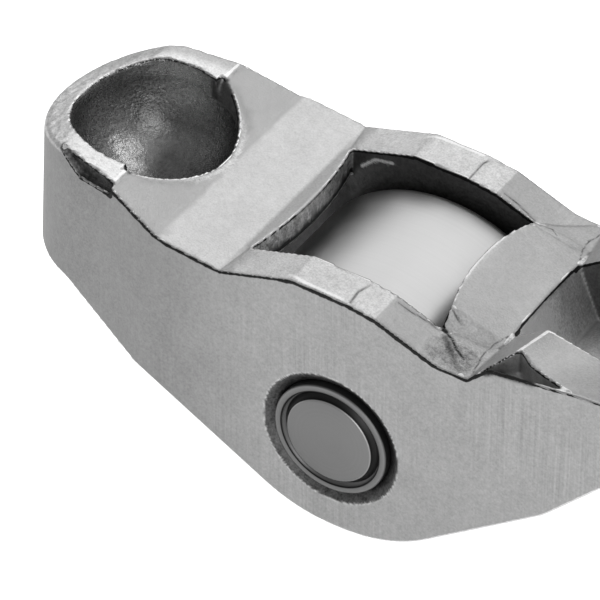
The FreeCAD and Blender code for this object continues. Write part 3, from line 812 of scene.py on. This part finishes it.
    def press(self, arm: bpy.types.Object) -> None:
        """Sinks the cracks and seams into the arm, and hammers the rim."""
        places, facing = self.places(arm)
        depth = np.zeros(len(places))
        for seam in SEAMS:
            if seam.depth:
                depth += seam.depth * seam.share(places)
        rim = self.rim(places, facing)
        for i in np.flatnonzero(rim > self.least_rim):
            dent = noise.fractal(Vector(places[i] / self.hammer_mm), self.hammer_falloff,
                                 self.hammer_step, self.hammer_layers)
            depth[i] += self.hammer_depth_mm * rim[i] * dent
        moved = (places - facing * depth[:, None]) * MM
        arm.data.vertices.foreach_set("co", moved.ravel())
        arm.data.update()

    def mark(self, arm: bpy.types.Object, trees: Sequence[kdtree.KDTree]) -> None:
        """Writes the attributes that the finish reads.

        Args:
            arm: the arm.
            trees: points on its outer edges, its inner corners and the tops of its walls.
        """
        places, facing = self.places(arm)
        convex, concave, crest = self.gaps(arm, trees)
        width = np.interp(places[:, 0], *zip(*OUTLINE))
        steep = between(facing[:, 2], *self.steep)
        measures = self.measures(places, facing)
        by_pin = between(measures["spin"], *self.pin_hole) * (measures["beside"] > self.outer_wall)
        no_bright_edge = steep * between(crest, *self.crest_fade) + by_pin
        # The bright line along outer edges: wear, with a painted highlight.
        edge = (convex - self.edge_round) / self.edge_wear_and_highlight_mm + self.no_line * no_bright_edge
        # The dark line under the top edge of a steep face: painted shade.
        top = (crest - self.edge_round) / width + self.no_line * (1 - steep)
        values = {
            Mark.LIGHT_AND_TONE: np.ones(len(places)),
            Mark.GRAIN: np.full(len(places), self.plain_grain),
            # The rim's bright wear, with painted highlights.
            Mark.WEAR_AND_HIGHLIGHT: self.rim_wear_and_highlight * self.rim(places, facing),
            # Painted shade in the inner corners.
            Mark.SHADE_AND_CRACK: self.corner_shade * np.exp(-(concave / self.crevice_mm) ** 2),
            Mark.POLISH: np.zeros(len(places)),
            Mark.EDGE: np.minimum(edge, self.no_line),
            Mark.CREST: np.minimum(top, self.no_line),
        }
        for zone in ZONES:
            share = zone.share(measures)
            levels = {Mark.LIGHT_AND_TONE: zone.tone, Mark.GRAIN: zone.grain, Mark.POLISH: zone.polish}
            for mark, level in levels.items():
                values[mark] = values[mark] * (1 - share) + level * share
        for seam in SEAMS:
            share = seam.share(places)
            values[Mark.SHADE_AND_CRACK] = np.maximum(values[Mark.SHADE_AND_CRACK] * (1 - seam.wear_and_highlight * share), seam.shade_and_crack * share)
            values[Mark.WEAR_AND_HIGHLIGHT] = np.maximum(values[Mark.WEAR_AND_HIGHLIGHT] * (1 - seam.shade_and_crack * share), seam.wear_and_highlight * share)
            values[Mark.GRAIN] = np.maximum(values[Mark.GRAIN], seam.grain * share)
        for mark, strength in values.items():
            arm.data.attributes.new(mark.value, "FLOAT", "POINT").data.foreach_set("value", strength)

    def measures(self, places: np.ndarray, facing: np.ndarray) -> dict[str, np.ndarray]:
        """The measures that the zones' limits are given in, in millimetres."""
        x, y, z = places.T
        mouth = np.hypot(x, y)
        flare = math.radians(self.nose_flare)
        flat = np.abs(y) * math.cos(flare) - (x - self.nose_shift) * math.sin(flare)
        leaves = self.nose_shift - self.nose_radius * math.sin(flare)
        beyond = np.where(x < leaves, np.hypot(x - self.nose_shift, y), flat)
        return {
            "along": x, "side": y, "beside": np.abs(y), "height": z, "mouth": mouth,
            "nose": beyond - self.nose_radius + self.nose_draft * z,
            "bowl": np.where(z < self.bowl_top, np.linalg.norm(places, axis=1), mouth),
            "spin": np.hypot(x - AXLE[0], z - AXLE[2]),
            "up": facing[:, 2], "ahead": facing[:, 0], "outward": facing[:, 1] * np.sign(y),
        }


@dataclass
class Bearing:
    """The axle pin, the needles round it and the roller that runs on them."""

    centre: Point = AXLE
    roller_radius: float = 9.0
    roller_half: float = 5.0
    tread_edge: float = 0.7
    tread_steps: int = 8
    bore_radius: float = 5.4
    bore_bevel: float = 0.25
    pin_radius: float = 3.72
    pin_half: float = 8.07
    pin_bevel: float = 0.12
    disc_radius: float = 2.77
    disc_rise: float = 0.16
    groove_radius: float = 3.27
    groove_depth: float = 0.35
    groove_lip: float = 0.04
    needle_radius: float = 0.8
    needle_half: float = 4.8
    needle_count: int = 17
    needle_steps: int = 65
    needle_sides: int = 24
    taper_span: Span = (0.5, 0.46)
    taper_least: float = 0.75
    race_gap: float = 0.04
    sides: int = 256

    def build_roller(self) -> bpy.types.Object:
        """Makes the roller with its rounded tread edges."""
        profile = [(self.bore_radius, self.roller_half - self.bore_bevel),
                   (self.bore_radius, self.bore_bevel - self.roller_half),
                   (self.bore_radius + self.bore_bevel, -self.roller_half)]
        for side in (-1, 1):
            corner = (self.roller_radius - self.tread_edge, side * (self.roller_half - self.tread_edge))
            arc = []
            for i in range(self.tread_steps + 1):
                turn = math.pi / 2 * i / self.tread_steps
                arc.append((corner[0] + self.tread_edge * math.sin(turn),
                            corner[1] + side * self.tread_edge * math.cos(turn)))
            profile += arc if side < 0 else arc[::-1]
        profile.append((self.bore_radius + self.bore_bevel, self.roller_half))
        roller = lathe("cam_roller", profile, self.centre, self.sides)
        # A soft broad gloss that slides along the tread, with faint bands from the grinding wheel.
        finish = RoundSteel("ground_steel", "#C4C4C4", 0.38, Turn.GROUND, self.centre, line_mm=0.2)
        roller.data.materials.append(finish.material())
        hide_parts("roller")
        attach(roller, "roller")
        return roller

    def build_pin(self) -> bpy.types.Object:
        """Makes the pin, with a staked groove round the raised middle of each end."""
        half = self.pin_half
        top = half + self.disc_rise
        face = [(0.0, top),
                (self.disc_radius - 0.08, top),
                (self.disc_radius, top - 0.05),
                (self.groove_radius - 0.16, half - self.groove_depth + 0.03),
                (self.groove_radius - 0.12, half - self.groove_depth),
                (self.groove_radius - 0.02, half - self.groove_lip),
                (self.groove_radius + self.groove_lip, half),
                (self.pin_radius - self.pin_bevel, half),
                (self.pin_radius - 0.03, half - 0.04),
                (self.pin_radius, half - self.pin_bevel)]
        profile = face + [(radius, -across) for radius, across in reversed(face)]
        pin = lathe("staked_pin", profile, self.centre, self.sides)
        # Rings of colour that paint the shade and highlights of the staked groove and the disc's edge.
        rings = ((0.0, "#888888"), (2.72, "#8A8A8A"), (2.77, "#B4B4B4"), (2.8, "#141414"), (2.9, "#2C2C2C"),
                 (3.1, "#3A3A3A"), (3.15, "#606060"), (3.23, "#6C6C6C"), (3.26, "#1C1C1C"), (3.31, "#2C2C2C"),
                 (3.35, "#7C7C7C"), (3.62, "#8C8C8C"), (3.72, "#4C4C4C"))
        # A duller, greyer face with fine rings, with painted shade in the staked groove and painted
        # highlights on its lips.
        finish = RoundSteel("turned_steel", rings, 0.45, Turn.TURNED, self.centre)
        pin.data.materials.append(finish.material())
        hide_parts("axle_pin")
        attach(pin, "arm")
        return pin

    def needle_tree(self, material: bpy.types.Material) -> bpy.types.GeometryNodeTree:
        """Builds the rule that sets needles round the pin.

        Args:
            material: the needles' finish.

        Returns:
            The node tree, with an input for each size.
        """
        tree = bpy.data.node_groups.new("needle_set", "GeometryNodeTree")
        pitch = (self.pin_radius + self.race_gap + self.needle_radius) * MM
        sockets = (("Count", "NodeSocketInt", self.needle_count),
                   ("Pitch Radius", "NodeSocketFloat", pitch),
                   ("Needle Radius", "NodeSocketFloat", self.needle_radius * MM),
                   ("Half Length", "NodeSocketFloat", self.needle_half * MM))
        tree.interface.new_socket("Geometry", in_out="OUTPUT", socket_type="NodeSocketGeometry")
        for name, kind, value in sockets:
            tree.interface.new_socket(name, in_out="INPUT", socket_type=kind).default_value = value
        given = add_node(tree, "NodeGroupInput")
        ring = add_node(tree, "GeometryNodeCurvePrimitiveCircle", {
            "Resolution": given.outputs["Count"], "Radius": given.outputs["Pitch Radius"]})
        back = maths(tree, "MULTIPLY", given.outputs["Half Length"], -1.0)
        start = add_node(tree, "ShaderNodeCombineXYZ", {"Z": back})
        end = add_node(tree, "ShaderNodeCombineXYZ", {"Z": given.outputs["Half Length"]})
        line = add_node(tree, "GeometryNodeCurvePrimitiveLine", {
            "Start": start.outputs[0], "End": end.outputs[0]})
        points = add_node(tree, "GeometryNodeResampleCurve", {
            "Curve": line.outputs[0], "Count": self.needle_steps})
        along = add_node(tree, "GeometryNodeSplineParameter")
        away = maths(tree, "ABSOLUTE", maths(tree, "SUBTRACT", along.outputs["Factor"], 0.5))
        taper = mapped(tree, away, self.taper_span, (self.taper_least, 1.0),
                       interpolation_type="SMOOTHERSTEP")
        circle = add_node(tree, "GeometryNodeCurvePrimitiveCircle", {
            "Resolution": self.needle_sides, "Radius": given.outputs["Needle Radius"]})
        needle = add_node(tree, "GeometryNodeCurveToMesh", {
            "Curve": points.outputs[0], "Profile Curve": circle.outputs[0], "Scale": taper,
            "Fill Caps": True})
        placed = add_node(tree, "GeometryNodeInstanceOnPoints", {
            "Points": ring.outputs[0], "Instance": needle.outputs[0]})
        real = add_node(tree, "GeometryNodeRealizeInstances", {"Geometry": placed.outputs[0]})
        turned = add_node(tree, "GeometryNodeTransform", {
            "Geometry": real.outputs[0], "Translation": [c * MM for c in self.centre],
            "Rotation": (math.pi / 2, 0.0, 0.0)})
        smooth = add_node(tree, "GeometryNodeSetShadeSmooth", {"Geometry": turned.outputs[0]})
        dressed = add_node(tree, "GeometryNodeSetMaterial", {
            "Geometry": smooth.outputs[0], "Material": material})
        add_node(tree, "NodeGroupOutput", {"Geometry": dressed.outputs[0]})
        return tree

    def build_needles(self) -> bpy.types.Object:
        """Makes the full complement of needles, a little short of touching."""
        # Small bright rods whose thin glints tell them apart from the ring about them.
        finish = RoundSteel("needle_steel", "#D0D0D0", 0.25, Turn.GROUND, self.centre)
        needles = new_object("needle_set", bpy.data.meshes.new("needle_set"))
        rule = needles.modifiers.new("needles", "NODES")
        rule.node_group = self.needle_tree(finish.material())
        baked(needles)
        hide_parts(*(f"needle_{i + 1:02d}" for i in range(self.needle_count)))
        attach(needles, "needles")
        return needles


# Each panel lamp's name, place, side in millimetres, and brightness where one is white.
LAMPS = (
    ("back_left_panel", (-130.0, 200.0, 200.0), 200.0, 1.12),
    ("back_right_panel", (60.0, 200.0, 230.0), 200.0, 1.2),
    ("side_panel", (165.0, 25.0, 188.0), 44.0, 6.0),
    ("front_panel", (120.0, -150.0, 60.0), 100.0, 3.4),
)


@dataclass
class Studio:
    """The pale floor, the soft lamps and the camera at the photograph's angle."""

    floor_z: float = -19.25
    floor_size: float = 3000.0
    mirrored_lift: float = 0.4
    world_light: float = 0.35
    camera_place: Point = (130.0, -191.3, 175.5)
    camera_azimuth: float = 32.11
    camera_elevation: float = 39.18
    lens: float = 300.0
    sensor: float = 36.0
    nearest_m: float = 0.01
    aim: Point = (17.0, 0.0, -6.0)

    def build(self) -> None:
        """Sets up the floor, the world, the lamps and the camera."""
        self.build_floor()
        self.build_world()
        for lamp in LAMPS:
            self.lamp(*lamp)
        self.build_camera()
        bpy.context.scene.view_settings.view_transform = "Standard"

    def build_floor(self) -> None:
        """Lays a large floor that is white to the camera, with no shadow seen on it."""
        half = self.floor_size / 2 * MM
        mesh = bpy.data.meshes.new("floor")
        corners = [(-half, -half), (half, -half), (half, half), (-half, half)]
        mesh.from_pydata([(x, y, self.floor_z * MM) for x, y in corners], [], [(0, 1, 2, 3)])
        floor = new_object("floor", mesh)
        # White all the way to the edge, as in a catalogue picture, and too bright to show a shadow.
        material, tree = new_material("white_paper")
        diffuse = add_node(tree, "ShaderNodeBsdfDiffuse", {"Color": linear("#F5F5F5")})
        rays = add_node(tree, "ShaderNodeLightPath")
        mirrored = maths(tree, "ADD", rays.outputs["Is Glossy Ray"], rays.outputs["Is Transmission Ray"])
        strength = maths(tree, "MULTIPLY_ADD", mirrored, self.mirrored_lift, rays.outputs["Is Camera Ray"])
        lift = add_node(tree, "ShaderNodeEmission", {"Color": WHITE, "Strength": strength})
        both = add_node(tree, "ShaderNodeAddShader", {0: diffuse.outputs[0], 1: lift.outputs[0]})
        add_node(tree, "ShaderNodeOutputMaterial", {"Surface": both.outputs[0]})
        floor.data.materials.append(material)

    def build_world(self) -> None:
        """Makes a plain world: white to the camera and soft grey light for the object."""
        world = bpy.data.worlds.new("studio")
        world.use_nodes = True
        world.node_tree.nodes.clear()
        tree = world.node_tree
        rays = add_node(tree, "ShaderNodeLightPath")
        strength = mapped(tree, rays.outputs["Is Camera Ray"], (0.0, 1.0), (self.world_light, 1.0))
        sky = add_node(tree, "ShaderNodeBackground", {"Color": WHITE, "Strength": strength})
        add_node(tree, "ShaderNodeOutputWorld", {"Surface": sky.outputs[0]})
        bpy.context.scene.world = world

    def lamp(self, name: str, place: Point, size: float, radiance: float) -> None:
        """Hangs a square panel lamp that faces the arm.

        Args:
            name: the lamp's name.
            place: its centre, in millimetres.
            size: its side, in millimetres.
            radiance: how bright its face is, where one is white.
        """
        data = bpy.data.lights.new(name, "AREA")
        data.size = size * MM
        data.energy = radiance * math.pi * data.size ** 2
        lamp = new_object(name, data)
        lamp.location = Vector(place) * MM
        lamp.rotation_euler = (Vector(self.aim) - Vector(place)).to_track_quat("-Z", "Y").to_euler()

    def build_camera(self) -> None:
        """Sets the camera where the photograph was taken from."""
        azimuth, elevation = math.radians(self.camera_azimuth), math.radians(self.camera_elevation)
        level = math.cos(elevation)
        back = Vector((math.sin(azimuth) * level, -math.cos(azimuth) * level, math.sin(elevation)))
        right = Vector((math.cos(azimuth), math.sin(azimuth), 0.0))
        data = bpy.data.cameras.new("camera")
        data.lens = self.lens
        data.sensor_width = self.sensor
        data.clip_start = self.nearest_m
        camera = new_object("camera", data)
        turned = Matrix((right, back.cross(right), back)).transposed().to_4x4()
        turned.translation = Vector(self.camera_place) * MM
        camera.matrix_world = turned
        bpy.context.scene.camera = camera


def main() -> None:
    """Builds the rocker arm's pieces and the studio."""
    logging.basicConfig(level=logging.INFO, format="%(name)s: %(message)s")
    bearing = Bearing()
    pieces = [ArmBody().build(FormedSteel()), bearing.build_roller(), bearing.build_pin(),
              bearing.build_needles()]
    for piece in pieces:
        piece.data.calc_loop_triangles()
        LOG.info("%s: %d triangles", piece.name, len(piece.data.loop_triangles))
    Studio().build()


if __name__ == "__main__":
    main()
